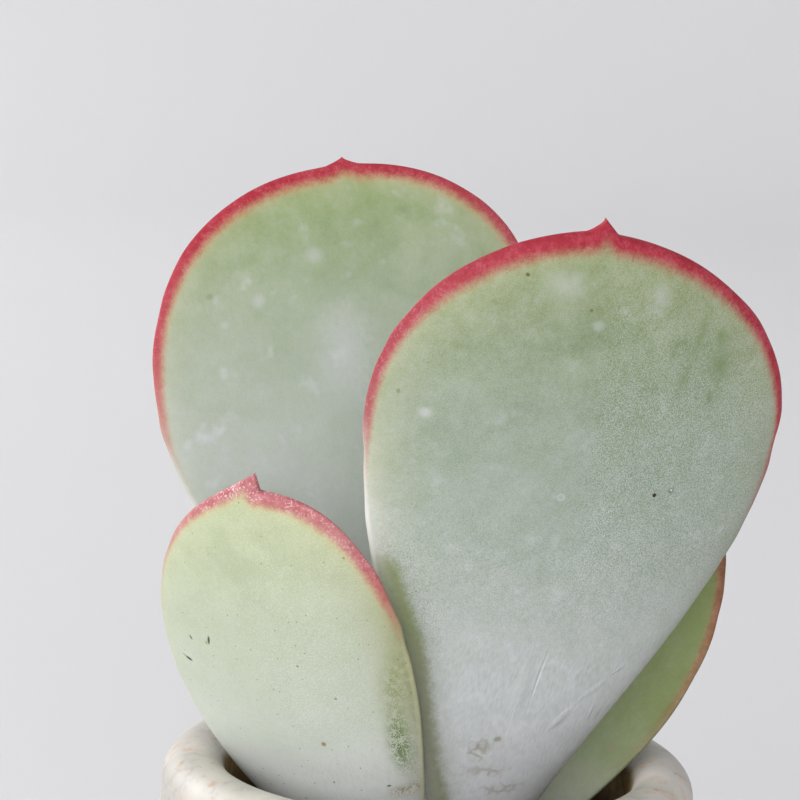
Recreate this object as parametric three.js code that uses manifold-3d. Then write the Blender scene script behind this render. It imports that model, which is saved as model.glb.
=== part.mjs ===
// A young cotyledon with two crossed pairs of paddle leaves, rooted in a small round-lipped pot.
// Millimetres, +Z up. The origin is the middle of the pot's flat underside.
// Azimuths are counted from -Y towards +X, so 0 is the side that faces the viewer.
import * as THREE from "three";
import { mergeVertices } from "three/addons/utils/BufferGeometryUtils.js";
import Module from "manifold-3d";

const wasm = await Module();
wasm.setup();

// Driving dimensions of the pot
const POT_HEIGHT = 52;
const LIP_CENTRE_RADIUS = 28;
const LIP_THICKNESS = 7.6;
const BELLY_RADIUS = 34.5;
const BELLY_Z = 20;
const BASE_RADIUS = 25;
const WALL = 4.5;
const FLOOR_THICKNESS = 6;
const DRAIN_HOLES = 3;
const DRAIN_HOLE_RADIUS = 2.5;
const DRAIN_CIRCLE_RADIUS = 10;

// Driving dimensions of the fill
const SOIL_TOP = 31.5;
const GRIT_LAYER = 1.6;
const GRIT_GRAINS = 84;
const GRIT_RADIUS_MIN = 1.7;
const GRIT_RADIUS_MAX = 2.7;
const GRIT_HIGHEST = 1.6;

// Driving dimensions of the stem and the growing tip
const STEM_X = 1.2;
const STEM_Y = -0.2;
const STEM_BOTTOM = 14;
const STEM_TOP = 44.4;
const STEM_RADIUS = 4;
const LOWER_PAIR_Z = 36.7;
const UPPER_PAIR_Z = 39.2;
const YOUNG_LEAF_LENGTH = 9.5;
const YOUNG_LEAF_HALF_WIDTH = 2.5;

// The clearance kept between pieces that touch
const SEAT = 0.3;

// Shared proportions of the leaves
const RIM_HALF_THICKNESS = 0.75;
const BASE_ROUNDING_SHARE = 0.045;
const LEAF_AROUND = 20;
const LEAF_ALONG = 28;
const YOUNG_LEAF_AROUND = 8;
const YOUNG_LEAF_ALONG = 12;

// The four grown leaves. Lengths are in mm, angles in degrees, and the rest are shares.
// lean is from the vertical at the base and at the tip, twist turns the blade about its midrib,
// bow is the sideways arch of the midrib and cup is the curvature that lifts the margins inward.
// mucro is the length of the small point on the tip, and mucroShift is how far it leans sideways.
// Each side of a blade has its own margin: shoulder says how its wedge swells, drop is how far short
// of the tip its top ends, sink is how much deeper the flank of the small point starts, power is
// that flank's curve, and scale widens the whole side.
const LEAVES = [
  {
    name: "leaf_large_front",
    azimuth: 38,
    baseZ: UPPER_PAIR_Z,
    baseRadius: 5.6,
    length: 81.4,
    halfWidth: 26.5,
    baseHalfWidth: 4.3,
    widestAt: 0.729,
    roundness: 1.86,
    left: { shoulder: 1.22, drop: 0.2, sink: 0.12, power: 1.7, scale: 1.014 },
    right: { shoulder: 1.6, drop: 0.4, sink: 0.08, power: 1, scale: 0.986 },
    leanBase: 10.9,
    leanTip: 16,
    twist: 14.5,
    bow: 0.056,
    cup: 0.006,
    halfThickness: 2.9,
    mucro: 1.5,
    mucroShift: 0,
    colour: 0xa3b6a0,
  },
  {
    name: "leaf_large_back",
    azimuth: 218,
    baseZ: UPPER_PAIR_Z,
    baseRadius: 5.6,
    length: 82.9,
    halfWidth: 25.5,
    baseHalfWidth: 4.1,
    widestAt: 0.704,
    roundness: 2.2,
    left: { shoulder: 2.47, drop: 0, sink: 0.06, power: 1.5, scale: 0.982 },
    right: { shoulder: 2.47, drop: 0, sink: 0.06, power: 1.3, scale: 1.022 },
    leanBase: 7.9,
    leanTip: 18.8,
    twist: 15.9,
    bow: 0.029,
    cup: 0.006,
    halfThickness: 2.9,
    mucro: 1,
    mucroShift: 0,
    colour: 0xa9bfa0,
  },
  {
    name: "leaf_small_front",
    azimuth: -52,
    baseZ: LOWER_PAIR_Z,
    baseRadius: 5.4,
    length: 55.8,
    halfWidth: 16.3,
    baseHalfWidth: 4.1,
    widestAt: 0.598,
    roundness: 2.05,
    left: { shoulder: 0.95, drop: 0, sink: 1.2, power: 1, scale: 0.971 },
    right: { shoulder: 0.95, drop: 0.35, sink: 0.06, power: 1.2, scale: 1.029 },
    leanBase: 31.8,
    leanTip: 19.4,
    twist: -23.6,
    bow: -0.077,
    cup: 0.02,
    halfThickness: 2.5,
    mucro: 1.9,
    mucroShift: 0.55,
    colour: 0xc3d0ab,
  },
  {
    name: "leaf_small_back",
    azimuth: 128,
    baseZ: LOWER_PAIR_Z,
    baseRadius: 5.4,
    length: 55.2,
    halfWidth: 16.5,
    baseHalfWidth: 4.1,
    widestAt: 0.621,
    roundness: 1.9,
    left: { shoulder: 1.27, drop: 0, sink: 0.1, power: 1.4, scale: 1.03 },
    right: { shoulder: 1.27, drop: 0, sink: 0.12, power: 1.2, scale: 0.97 },
    leanBase: 42.4,
    leanTip: 23.9,
    twist: -8.3,
    bow: -0.006,
    cup: 0.02,
    halfThickness: 2.5,
    mucro: 1.3,
    mucroShift: 0,
    colour: 0x8ba06a,
  },
];

// Shared helpers

// A closed geometry as a solid that can be joined and cut.
function solid(geometry) {
  const bare = new THREE.BufferGeometry();
  bare.setAttribute("position", geometry.getAttribute("position"));
  bare.setIndex(geometry.index);
  const merged = mergeVertices(bare, 1e-3);
  return new wasm.Manifold(
    new wasm.Mesh({
      numProp: 3,
      vertProperties: new Float32Array(merged.attributes.position.array),
      triVerts: new Uint32Array(merged.index.array),
    }),
  );
}

// A solid as a named mesh with its own material.
function piece(name, made, colour, roughness) {
  const data = made.getMesh();
  const geometry = new THREE.BufferGeometry();
  const corners = new Float32Array(data.numVert * 3);
  for (let i = 0; i < data.numVert; i++) {
    corners.set(data.vertProperties.subarray(i * data.numProp, i * data.numProp + 3), i * 3);
  }
  geometry.setAttribute("position", new THREE.BufferAttribute(corners, 3));
  geometry.setIndex(new THREE.BufferAttribute(new Uint32Array(data.triVerts), 1));
  geometry.computeVertexNormals();
  const material = new THREE.MeshStandardMaterial({ color: colour, roughness: roughness, metalness: 0 });
  const mesh = new THREE.Mesh(geometry, material);
  mesh.name = name;
  return mesh;
}

// A profile of [radius, height] points turned about a vertical axis through (x, y).
function turned(profile, segments, x = 0, y = 0) {
  const points = profile.map(([r, z]) => new THREE.Vector2(r, z));
  const geometry = new THREE.LatheGeometry(points, segments);
  geometry.rotateX(Math.PI / 2);
  geometry.translate(x, y, 0);
  return solid(geometry);
}

// The same random numbers in every run.
function seeded(seed) {
  let state = seed;
  return () => {
    state = (state * 1664525 + 1013904223) % 4294967296;
    return state / 4294967296;
  };
}

const radians = THREE.MathUtils.degToRad;
const smooth = THREE.MathUtils.smoothstep;

// Pot

const POT_SEGMENTS = 40;
const LIP_RADIUS = LIP_THICKNESS / 2;
const LIP_Z = POT_HEIGHT - LIP_RADIUS;
const NECK_RADIUS = LIP_CENTRE_RADIUS + 3.4;

// Outer wall: a shallow barrel from the foot through the belly to the neck under the lip.
function outerRadius(z) {
  if (z > BELLY_Z) {
    const up = (z - BELLY_Z) / (LIP_Z - BELLY_Z);
    return BELLY_RADIUS - (BELLY_RADIUS - NECK_RADIUS) * up ** 2;
  }
  const down = (BELLY_Z - z) / BELLY_Z;
  return BASE_RADIUS + (BELLY_RADIUS - BASE_RADIUS) * Math.sqrt(1 - down ** 2.4);
}

// Inner wall, which the soil fills: it runs out into the lip's inner side at the top.
function innerRadius(z) {
  const wall = outerRadius(z) - WALL;
  const lipInside = LIP_CENTRE_RADIUS - LIP_RADIUS;
  return THREE.MathUtils.lerp(wall, lipInside, smooth(z, LIP_Z - 16, LIP_Z));
}

function pot() {
  const profile = [[0, 0]];
  const outerSteps = 10;
  for (let i = 0; i <= outerSteps; i++) {
    const z = (LIP_Z - 1.6) * (i / outerSteps) ** 1.3;
    profile.push([outerRadius(z), z]);
  }
  const lipSteps = 10;
  for (let i = 0; i <= lipSteps; i++) {
    const turn = Math.PI * (i / lipSteps);
    profile.push([LIP_CENTRE_RADIUS + LIP_RADIUS * Math.cos(turn), LIP_Z + LIP_RADIUS * Math.sin(turn)]);
  }
  const innerSteps = 6;
  for (let i = 1; i <= innerSteps; i++) {
    const z = LIP_Z - (LIP_Z - FLOOR_THICKNESS) * (i / innerSteps);
    profile.push([innerRadius(z), z]);
  }
  profile.push([0, FLOOR_THICKNESS]);
  let body = turned(profile, POT_SEGMENTS);
  for (let i = 0; i < DRAIN_HOLES; i++) {
    const turn = (i / DRAIN_HOLES) * 2 * Math.PI;
    const drill = new THREE.CylinderGeometry(DRAIN_HOLE_RADIUS, DRAIN_HOLE_RADIUS, 3 * FLOOR_THICKNESS, 12);
    drill.rotateX(Math.PI / 2);
    drill.translate(DRAIN_CIRCLE_RADIUS * Math.sin(turn), DRAIN_CIRCLE_RADIUS * Math.cos(turn), 0);
    body = body.subtract(solid(drill));
  }
  return piece("pot", body, 0xcdc8c0, 0.45);
}

// Stem: rooted deep in the soil, swollen a little where each pair of leaves is joined to it.

const STEM_SEGMENTS = 20;

function stemRadius(z) {
  const buried = THREE.MathUtils.lerp(2.4, STEM_RADIUS, smooth(z, STEM_BOTTOM, SOIL_TOP));
  const nodes = 0.5 * Math.exp(-(((z - LOWER_PAIR_Z) / 1.6) ** 2));
  const above = THREE.MathUtils.lerp(0, STEM_RADIUS - 2.3, smooth(z, UPPER_PAIR_Z, STEM_TOP));
  return buried + nodes - above;
}

// The stem widened by extra on every side, which cuts its seats and its hole in the soil.
function stemSolid(extra) {
  const bottom = STEM_BOTTOM - extra;
  const top = STEM_TOP + extra;
  const profile = [[0, bottom]];
  const steps = 14;
  for (let i = 0; i <= steps; i++) {
    const z = bottom + ((top - bottom) * i) / steps;
    profile.push([stemRadius(z) + extra, z]);
  }
  profile.push([0, top]);
  return turned(profile, STEM_SEGMENTS, STEM_X, STEM_Y);
}

// Soil and the grit over it, both with a plain hole for the stem

function discOf(bottom, top, steps) {
  const profile = [[0, bottom]];
  for (let i = 0; i <= steps; i++) {
    const z = bottom + ((top - bottom) * i) / steps;
    profile.push([innerRadius(z) - SEAT, z]);
  }
  profile.push([0, top]);
  return turned(profile, 40);
}

function soil() {
  const block = discOf(FLOOR_THICKNESS + SEAT, SOIL_TOP, 6);
  return piece("soil", block.subtract(stemSolid(SEAT)), 0x4a3526, 0.95);
}

// One angular grain: an icosahedron stretched along three axes and turned at random.
function grain(random, x, y, z, radius) {
  const geometry = new THREE.IcosahedronGeometry(radius, 0);
  geometry.scale(0.8 + 0.4 * random(), 0.75 + 0.3 * random(), 0.6 + 0.3 * random());
  geometry.rotateZ(2 * Math.PI * random());
  geometry.rotateX(Math.PI * random());
  geometry.translate(x, y, z);
  return solid(geometry);
}

function grit() {
  const random = seeded(11);
  const bottom = SOIL_TOP + SEAT;
  const top = bottom + GRIT_LAYER;
  const reach = innerRadius(top) - SEAT - GRIT_RADIUS_MAX;
  const grains = [];
  for (let i = 0; i < GRIT_GRAINS; i++) {
    // A sunflower spiral with a small random shift spreads the grains evenly.
    const out = reach * Math.sqrt((i + 0.5) / GRIT_GRAINS);
    const turn = i * 2.39996 + 0.5 * (random() - 0.5);
    const radius = GRIT_RADIUS_MIN + (GRIT_RADIUS_MAX - GRIT_RADIUS_MIN) * random();
    const z = top + Math.min(0.2, GRIT_HIGHEST - radius);
    grains.push(grain(random, out * Math.cos(turn), out * Math.sin(turn), z, radius));
  }
  const layer = discOf(bottom, top, 2);
  const bed = wasm.Manifold.union([layer, ...grains]);
  const trimmed = bed.intersect(discOf(bottom, top + GRIT_HIGHEST, 2));
  return piece("grit_top_dressing", trimmed.subtract(stemSolid(SEAT)), 0xa9683f, 0.9);
}

// Leaves

// Half the blade's width on one side without the small point: a wedge that swells to the shoulder
// and a round top.
function bodyHalfWidth(leaf, margin, distance) {
  const share = Math.min(distance / (leaf.length - margin.drop), 1);
  if (share < leaf.widestAt) {
    const swell = Math.sin(((share / leaf.widestAt) * Math.PI) / 2) ** margin.shoulder;
    return THREE.MathUtils.lerp(leaf.baseHalfWidth, leaf.halfWidth, swell);
  }
  const over = (share - leaf.widestAt) / (1 - leaf.widestAt);
  return leaf.halfWidth * (1 - over ** leaf.roundness) ** (1 / leaf.roundness);
}

// Half the blade's width on one side, with the flank of the small point on top.
function halfWidthAt(leaf, margin, distance) {
  const start = leaf.length - margin.drop - margin.sink;
  const rise = THREE.MathUtils.clamp((distance - start) / (leaf.length + leaf.mucro - start), 0, 1);
  const flank = bodyHalfWidth(leaf, margin, start) * (1 - rise) ** margin.power;
  return Math.max(bodyHalfWidth(leaf, margin, distance), flank) * margin.scale;
}

// Half the blade's thickness on its midrib.
function halfThicknessAt(leaf, distance) {
  const share = distance / leaf.length;
  const fat = leaf.halfThickness * (0.9 + 0.1 * smooth(share, 0, 0.3) - 0.22 * smooth(share, 0.4, 0.95));
  const nearTip = smooth(leaf.length - distance, -leaf.mucro, 9);
  return THREE.MathUtils.lerp(0.25, fat, nearTip ** 0.6);
}

// A point of the leaf: its distance along the midrib, across it, and out of its outer face.
function leafPoint(leaf, distance, across, out) {
  const share = distance / leaf.length;
  const bend = radians(leaf.leanTip - leaf.leanBase);
  const start = radians(leaf.leanBase);
  const lean = start + bend * share;
  const reach = (leaf.length * (Math.cos(start) - Math.cos(lean))) / bend;
  const rise = (leaf.length * (Math.sin(lean) - Math.sin(start))) / bend;
  const turn = radians(leaf.azimuth);
  const outward = new THREE.Vector3(Math.sin(turn), -Math.cos(turn), 0);
  const sideways = new THREE.Vector3(Math.cos(turn), Math.sin(turn), 0);
  const up = new THREE.Vector3(0, 0, 1);
  const facing = outward.clone().multiplyScalar(Math.cos(lean)).addScaledVector(up, -Math.sin(lean));
  const twist = radians(leaf.twist);
  const lateral = sideways.clone().multiplyScalar(Math.cos(twist)).addScaledVector(facing, Math.sin(twist));
  const normal = facing.clone().multiplyScalar(Math.cos(twist)).addScaledVector(sideways, -Math.sin(twist));
  const leaning = leaf.mucroShift * smooth(distance, leaf.length - 1, leaf.length + leaf.mucro);
  const bowed = across + leaning + leaf.bow * leaf.length * 4 * share * (1 - share);
  const cupped = out - (leaf.cup * across * across) / 2;
  return new THREE.Vector3(STEM_X, STEM_Y, leaf.baseZ)
    .addScaledVector(outward, leaf.baseRadius + reach)
    .addScaledVector(up, rise)
    .addScaledVector(lateral, bowed)
    .addScaledVector(normal, cupped);
}

// A sphere whose poles become the leaf's base and the tip of its mucro.
function leafSolid(leaf, around, along) {
  const geometry = new THREE.SphereGeometry(1, around, along);
  const place = geometry.attributes.position;
  const whole = leaf.length + leaf.mucro;
  for (let i = 0; i < place.count; i++) {
    const pole = THREE.MathUtils.clamp(place.getY(i), -1, 1);
    const ring = Math.sqrt(Math.max(1 - pole * pole, 0));
    const across = ring > 1e-6 ? place.getX(i) / ring : 0;
    const side = ring > 1e-6 ? place.getZ(i) / ring : 0;
    const distance = (whole * (1 + pole)) / 2;
    const fromBase = Math.min(distance / (BASE_ROUNDING_SHARE * leaf.length), 1);
    const rounding = Math.sqrt(1 - (1 - fromBase) ** 2);
    const margin = across > 0 ? leaf.right : leaf.left;
    const width = ring > 1e-6 ? halfWidthAt(leaf, margin, distance) * rounding : 0;
    const fat = halfThicknessAt(leaf, distance) * rounding;
    const rim = Math.min(RIM_HALF_THICKNESS, fat);
    const lens = rim * Math.abs(side) ** 0.5 + (fat - rim) * Math.abs(side) ** 1.6;
    const out = ring > 1e-6 ? Math.sign(side) * lens : 0;
    const point = leafPoint(leaf, distance, across * width, out);
    place.setXYZ(i, point.x, point.y, point.z);
  }
  return solid(geometry);
}

function leafMesh(leaf) {
  return piece(leaf.name, leafSolid(leaf, LEAF_AROUND, LEAF_ALONG).subtract(stemSolid(SEAT)), leaf.colour, 0.7);
}

// Growing tip: the next pair of leaves, still pressed together, crossing the large pair.

function youngLeaf(azimuth) {
  const margin = { shoulder: 1.1, drop: 0, sink: 0.08, power: 1.3, scale: 1 };
  const leaf = {
    azimuth: azimuth,
    baseZ: STEM_TOP + SEAT,
    baseRadius: 1.1,
    length: YOUNG_LEAF_LENGTH,
    halfWidth: YOUNG_LEAF_HALF_WIDTH,
    baseHalfWidth: 1.8,
    widestAt: 0.55,
    roundness: 1.7,
    left: margin,
    right: margin,
    leanBase: 2,
    leanTip: 9,
    twist: 0,
    bow: 0,
    cup: 0.12,
    halfThickness: 1.2,
    mucro: 0.5,
    mucroShift: 0,
  };
  return leafSolid(leaf, YOUNG_LEAF_AROUND, YOUNG_LEAF_ALONG);
}

function growingTip() {
  const foot = STEM_TOP + SEAT;
  const crown = turned(
    [
      [0, foot],
      [2.1, foot],
      [1.9, foot + 1],
      [1.2, foot + 2.2],
      [0, foot + 2.6],
    ],
    STEM_SEGMENTS,
    STEM_X,
    STEM_Y,
  );
  const bud = crown.add(youngLeaf(-52)).add(youngLeaf(128));
  return piece("growing_tip", bud.subtract(stemSolid(SEAT)), 0xb7c69a, 0.7);
}

// The whole plant in its pot

const plant = new THREE.Group();
plant.add(pot());
plant.add(soil());
plant.add(grit());
plant.add(piece("stem", stemSolid(0), 0x8c8f6a, 0.8));
LEAVES.forEach((leaf) => plant.add(leafMesh(leaf)));
plant.add(growingTip());

export default plant;
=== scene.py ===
import math

import bmesh
import bpy
import numpy as np
from mathutils import Matrix, Vector, noise


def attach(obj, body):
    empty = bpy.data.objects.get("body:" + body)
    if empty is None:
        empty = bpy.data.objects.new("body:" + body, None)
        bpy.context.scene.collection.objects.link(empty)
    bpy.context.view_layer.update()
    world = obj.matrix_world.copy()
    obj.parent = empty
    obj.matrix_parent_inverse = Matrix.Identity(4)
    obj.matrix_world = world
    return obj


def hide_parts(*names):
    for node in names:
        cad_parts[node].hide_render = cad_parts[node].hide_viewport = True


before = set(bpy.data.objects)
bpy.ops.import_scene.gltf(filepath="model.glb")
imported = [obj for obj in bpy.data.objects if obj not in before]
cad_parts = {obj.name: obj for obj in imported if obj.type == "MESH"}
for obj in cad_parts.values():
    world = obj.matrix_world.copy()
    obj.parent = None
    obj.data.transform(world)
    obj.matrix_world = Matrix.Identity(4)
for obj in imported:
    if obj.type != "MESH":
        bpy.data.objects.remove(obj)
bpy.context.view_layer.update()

MM = 0.001
SEED = 20

# Named sizes, as in the solids but for the thinner rim of the leaves

POT_HEIGHT = 52.0
LIP_CENTRE_RADIUS = 28.0
LIP_RADIUS = 3.8
LIP_Z = POT_HEIGHT - LIP_RADIUS
NECK_RADIUS = LIP_CENTRE_RADIUS + 3.4
BELLY_RADIUS = 34.5
BELLY_Z = 20.0
BASE_RADIUS = 25.0
WALL = 4.5
FLOOR_THICKNESS = 6.0
DRAIN_HOLES = 3
DRAIN_HOLE_RADIUS = 2.5
DRAIN_CIRCLE_RADIUS = 10.0
SOIL_TOP = 31.5
STEM_X = 1.2
STEM_Y = -0.2
STEM_BOTTOM = 14.0
STEM_TOP = 44.4
STEM_RADIUS = 4.0
LOWER_PAIR_Z = 36.7
UPPER_PAIR_Z = 39.2
SEAT = 0.3
RIM_HALF_THICKNESS = 0.5
BASE_ROUNDING_SHARE = 0.045


# Small numeric helpers

def smooth(x, low, high):
    t = np.clip((np.asarray(x, float) - low) / (high - low), 0, 1)
    return t * t * (3 - 2 * t)


def lerp(a, b, t):
    return a + (b - a) * t


def along_curve(x, points):
    """A value read off a short list of (x, value) points."""
    return np.interp(x, [p[0] for p in points], [p[1] for p in points])


def noise_of(points, period, seed):
    """Smooth noise between -1 and 1 at points in mm, with bumps about one period apart."""
    shift = Vector((17.3 * seed, -9.1 * seed, 5.7 * seed))
    return np.array([noise.noise(Vector(p) / period + shift) for p in points])


def srgb(red, green, blue):
    """A colour given as it looks on a screen, from 0 to 255, as linear light."""
    def linear(v):
        v /= 255
        return v / 12.92 if v <= 0.04045 else ((v + 0.055) / 1.055) ** 2.4
    return (linear(red), linear(green), linear(blue), 1.0)


# Meshes

def add_object(name, data):
    thing = bpy.data.objects.new(name, data)
    bpy.context.scene.collection.objects.link(thing)
    return thing


def mesh_object(name, points, faces, attributes=None):
    """A smooth mesh object from points in mm, with named per-point values."""
    mesh = bpy.data.meshes.new(name)
    mesh.from_pydata((np.asarray(points) * MM).tolist(), [], faces)
    mesh.update()
    for key, values in (attributes or {}).items():
        values = np.asarray(values, np.float32)
        kind, field = ("FLOAT", "value") if values.ndim == 1 else ("FLOAT_VECTOR", "vector")
        layer = mesh.attributes.new(key, kind, "POINT")
        layer.data.foreach_set(field, values.ravel())
    mesh.polygons.foreach_set("use_smooth", [True] * len(mesh.polygons))
    return add_object(name, mesh)


def ball_faces(rings, around):
    """Faces of a closed skin: a first pole, rings of points one after another, and a last pole."""
    faces = []
    last = 1 + rings * around
    for j in range(around):
        k = (j + 1) % around
        faces.append((0, 1 + k, 1 + j))
        faces.append((last, last - around + j, last - around + k))
    for i in range(rings - 1):
        low = 1 + i * around
        high = low + around
        for j in range(around):
            k = (j + 1) % around
            faces.append((low + j, low + k, high + k, high + j))
    return faces


def turned(name, profile, segments, x=0.0, y=0.0, wobble=None, attributes=None):
    """A profile of (radius, height) points turned about a vertical axis. Its two ends lie on the axis."""
    profile = np.asarray(profile, float)
    ring_profile = profile[1:-1]
    turn = np.linspace(0, 2 * math.pi, segments, endpoint=False)
    radius = np.repeat(ring_profile[:, 0], segments)
    height = np.repeat(ring_profile[:, 1], segments)
    turns = np.tile(turn, len(ring_profile))
    if wobble is not None:
        radius = radius + wobble(radius, height, turns)
    rings = np.stack([x + radius * np.cos(turns), y + radius * np.sin(turns), height], 1)
    first_pole = [[x, y, profile[0, 1]]]
    last_pole = [[x, y, profile[-1, 1]]]
    points = np.concatenate([first_pole, rings, last_pole])
    values = {}
    for key, per_ring in (attributes or {}).items():
        per_ring = np.asarray(per_ring, float)
        values[key] = np.concatenate([per_ring[:1], np.repeat(per_ring[1:-1], segments), per_ring[-1:]])
    return mesh_object(name, points, ball_faces(len(ring_profile), segments), values)


# Shader building blocks

class Shade:
    """One material's node tree, with short methods for the few node kinds that are used here."""

    def __init__(self, name):
        self.material = bpy.data.materials.new(name)
        self.material.use_nodes = True
        self.tree = self.material.node_tree
        self.tree.nodes.clear()
        output = self.node("OutputMaterial")
        self.surface = self.node("BsdfPrincipled")
        self.link(self.surface.outputs[0], output.inputs["Surface"])

    def node(self, kind):
        return self.tree.nodes.new("ShaderNode" + kind)

    def link(self, source, target):
        self.tree.links.new(source, target)

    def put(self, value, socket):
        if isinstance(value, bpy.types.NodeSocket):
            self.link(value, socket)
        else:
            socket.default_value = value

    def coordinates(self):
        """The piece's own coordinates, in mm."""
        place = self.node("TexCoord")
        scale = self.node("VectorMath")
        scale.operation = "SCALE"
        self.link(place.outputs["Object"], scale.inputs[0])
        scale.inputs["Scale"].default_value = 1 / MM
        return scale.outputs[0]

    def value(self, name, output="Fac"):
        """A named value that the mesh holds at its points."""
        node = self.node("Attribute")
        node.attribute_name = name
        return node.outputs[output]

    def math(self, operation, a, b=0.0, clamp=False):
        node = self.node("Math")
        node.operation = operation
        node.use_clamp = clamp
        self.put(a, node.inputs[0])
        self.put(b, node.inputs[1])
        return node.outputs[0]

    def times(self, a, b, clamp=False):
        return self.math("MULTIPLY", a, b, clamp)

    def held(self, value):
        """A value held between 0 and 1."""
        return self.math("ADD", value, 0.0, True)

    def total(self, *terms):
        result = terms[0]
        for term in terms[1:]:
            result = self.math("ADD", result, term)
        return result

    def swing(self, value, size):
        """A noise value moved to lie round 0 and scaled."""
        return self.times(self.math("SUBTRACT", value, 0.5), size)

    def step(self, value, low, high, out_low=0.0, out_high=1.0):
        """A smooth step of value from low to high."""
        node = self.node("MapRange")
        node.interpolation_type = "SMOOTHSTEP"
        if low > high:
            low, high, out_low, out_high = high, low, out_high, out_low
        self.put(value, node.inputs["Value"])
        self.put(low, node.inputs["From Min"])
        self.put(high, node.inputs["From Max"])
        self.put(out_low, node.inputs["To Min"])
        self.put(out_high, node.inputs["To Max"])
        return node.outputs[0]

    def mix(self, share, a, b):
        """Colour a, with a share of colour b laid over it."""
        node = self.node("Mix")
        node.data_type = "RGBA"
        self.put(share, node.inputs[0])
        self.put(a, node.inputs[6])
        self.put(b, node.inputs[7])
        return node.outputs[2]

    def noise(self, place, period, detail=2.0, roughness=0.5):
        node = self.node("TexNoise")
        self.link(place, node.inputs["Vector"])
        node.inputs["Scale"].default_value = 1 / period
        node.inputs["Detail"].default_value = detail
        node.inputs["Roughness"].default_value = roughness
        return node.outputs["Fac"]

    def cells(self, place, period, output="Distance", feature="F1"):
        node = self.node("TexVoronoi")
        node.feature = feature
        self.link(place, node.inputs["Vector"])
        node.inputs["Scale"].default_value = 1 / period
        return node.outputs[output]

    def stretch(self, place, scale):
        node = self.node("Mapping")
        self.link(place, node.inputs["Vector"])
        node.inputs["Scale"].default_value = scale
        return node.outputs[0]

    def mix_value(self, share, a, b):
        node = self.node("Mix")
        self.put(share, node.inputs[0])
        self.put(a, node.inputs[2])
        self.put(b, node.inputs[3])
        return node.outputs[0]

    def spot_distance(self, place, spot):
        """The distance from an oval spot's middle: 0 there and 1 on its outline."""
        local = self.node("Mapping")
        local.vector_type = "TEXTURE"
        self.link(place, local.inputs["Vector"])
        local.inputs["Location"].default_value = spot["point"]
        local.inputs["Rotation"].default_value = (0, 0, spot["turn"])
        local.inputs["Scale"].default_value = spot["size"]
        away = self.node("VectorMath")
        away.operation = "LENGTH"
        self.link(local.outputs[0], away.inputs[0])
        return away.outputs["Value"]

    def specks(self, place, period, radius, share):
        """Round specks of about one radius in mm, in a share of the cells of a loose grid."""
        near = self.cells(place, period)
        pick = self.node("SeparateColor")
        self.link(self.cells(place, period, "Color"), pick.inputs[0])
        dot = self.step(near, radius / period, 0.45 * radius / period)
        return self.times(dot, self.math("LESS_THAN", pick.outputs[0], share))

    def bump(self, height, strength, depth):
        """Bumps whose height is given between 0 and 1, for a depth in mm."""
        node = self.node("Bump")
        node.inputs["Strength"].default_value = strength
        node.inputs["Distance"].default_value = depth * MM
        self.link(height, node.inputs["Height"])
        self.link(node.outputs[0], self.surface.inputs["Normal"])

    def finish(self, colour, roughness, **constants):
        self.put(colour, self.surface.inputs["Base Color"])
        self.put(roughness, self.surface.inputs["Roughness"])
        for name, value in constants.items():
            self.surface.inputs[name.replace("_", " ")].default_value = value
        return self.material


# Leaves: the same formulas as the solids, on a much finer skin that wavers slightly

LEAF_RINGS = 230
LEAF_AROUND = 144
RIM_CROWDING = 0.5
SWAY = 0.3
LONG_SWAY = 19.0
SHORT_SWAY = 7.0
FULL_SWAY_HALF_WIDTH = 26.0
MARGIN_WAVE = 0.22
MARGIN_WAVE_LENGTH = 3.4
POINT_HALF_THICKNESS = 0.25
POINT_TAPER = 9.0
OUTLINE_STEPS = 420
POINTS_AT_ONCE = 2000


def margin_shape(shoulder, drop, sink, power, scale=1.0):
    """One side of a blade: how its wedge swells, how far short of the tip its top ends,
    how deep the small point's flank starts below that, the flank's curve, and its width."""
    return dict(shoulder=shoulder, drop=drop, sink=sink, power=power, scale=scale)


LARGE_FRONT = dict(
    name="leaf_large_front", azimuth=38, base_z=UPPER_PAIR_Z, base_radius=5.6,
    length=81.4, half_width=26.5, base_half_width=4.3, widest_at=0.729, roundness=1.86,
    left=margin_shape(1.22, 0.2, 0.12, 1.7, 1.014), right=margin_shape(1.6, 0.4, 0.08, 1.0, 0.986),
    lean_base=10.9, lean_tip=16.0, twist=14.5, bow=0.056, cup=0.006,
    half_thickness=2.9, mucro=1.5, mucro_shift=0.0,
)
LARGE_BACK = dict(
    name="leaf_large_back", azimuth=218, base_z=UPPER_PAIR_Z, base_radius=5.6,
    length=82.9, half_width=25.5, base_half_width=4.1, widest_at=0.704, roundness=2.2,
    left=margin_shape(2.47, 0.0, 0.06, 1.5, 0.982), right=margin_shape(2.47, 0.0, 0.06, 1.3, 1.022),
    lean_base=7.9, lean_tip=18.8, twist=15.9, bow=0.029, cup=0.006,
    half_thickness=2.9, mucro=1.0, mucro_shift=0.0,
)
SMALL_FRONT = dict(
    name="leaf_small_front", azimuth=-52, base_z=LOWER_PAIR_Z, base_radius=5.4,
    length=55.8, half_width=16.3, base_half_width=4.1, widest_at=0.598, roundness=2.05,
    left=margin_shape(0.95, 0.0, 1.2, 1.0, 0.971), right=margin_shape(0.95, 0.35, 0.06, 1.2, 1.029),
    lean_base=31.8, lean_tip=19.4, twist=-23.6, bow=-0.077, cup=0.02,
    half_thickness=2.5, mucro=1.9, mucro_shift=0.55,
)
SMALL_BACK = dict(
    name="leaf_small_back", azimuth=128, base_z=LOWER_PAIR_Z, base_radius=5.4,
    length=55.2, half_width=16.5, base_half_width=4.1, widest_at=0.621, roundness=1.9,
    left=margin_shape(1.27, 0.0, 0.1, 1.4, 1.03), right=margin_shape(1.27, 0.0, 0.12, 1.2, 0.97),
    lean_base=42.4, lean_tip=23.9, twist=-8.3, bow=-0.006, cup=0.02,
    half_thickness=2.5, mucro=1.3, mucro_shift=0.0,
)
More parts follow.
